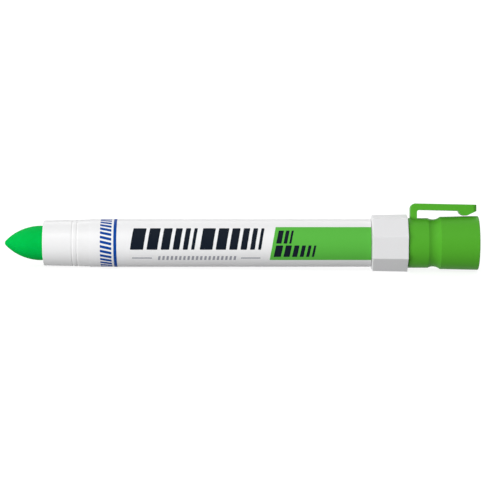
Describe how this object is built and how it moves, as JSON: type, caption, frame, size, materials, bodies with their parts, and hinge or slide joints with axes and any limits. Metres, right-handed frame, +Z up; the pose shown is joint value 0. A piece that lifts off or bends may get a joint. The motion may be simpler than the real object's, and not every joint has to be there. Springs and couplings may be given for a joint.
{
  "type": "solid paint marker",
  "caption": "Twist-up solid paint marker: green paint stick in a white barrel with a coloured panel, octagonal twist knob, green clip cap parked on the rear.",
  "frame": {"origin": "on the marker's axis, at the middle of the straight grip", "axes": "+X along the axis towards the knob and cap, so the tip points to -X; +Z up, away from the knob flat that the marker lies on"},
  "size_m": [0.1738, 0.0198, 0.0246],
  "materials": {
    "white_plastic": "smooth white moulding",
    "knob_plastic": "smooth white moulding, a little greyer than the barrel",
    "label_film": "satin film",
    "panel_print": "printed green",
    "stripe_print": "printed blue",
    "name_print": "printed dark marks on the label",
    "rule_print": "printed grey marks on the label",
    "natural_plastic": "unpainted inner moulding",
    "paint": "waxy solid paint",
    "cap_plastic": "satin green moulding"
  },
  "bodies": {
    "holder": {"barrel": "white_plastic", "barrel_label": "label_film", "label_panel": "panel_print", "label_stripe": "stripe_print", "rear_bush": "natural_plastic"},
    "knob": {"twist_knob": "knob_plastic", "feed_spindle": "natural_plastic"},
    "stick": {"stick_carrier": "natural_plastic", "paint_stick": "paint"},
    "cap": {"cap": "cap_plastic"}
  },
  "joints": [
    {"name": "knob_twist", "type": "hinge", "parent": "holder", "child": "knob", "pos_m": [0, 0, 0], "axis": [1, 0, 0], "range_deg": [-1386, 6381]},
    {"name": "stick_feed", "type": "slide", "parent": "holder", "child": "stick", "axis": [-1, 0, 0], "range_m": [-0.01541, 0.07091]},
    {"name": "cap_pull", "type": "slide", "parent": "knob", "child": "cap", "axis": [1, 0, 0], "range_m": [0, 0.012]}
  ],
  "couplings": [
    {"joint": "stick_feed", "follows": "knob_twist", "m_per_rad": 0.00063662}
  ]
}
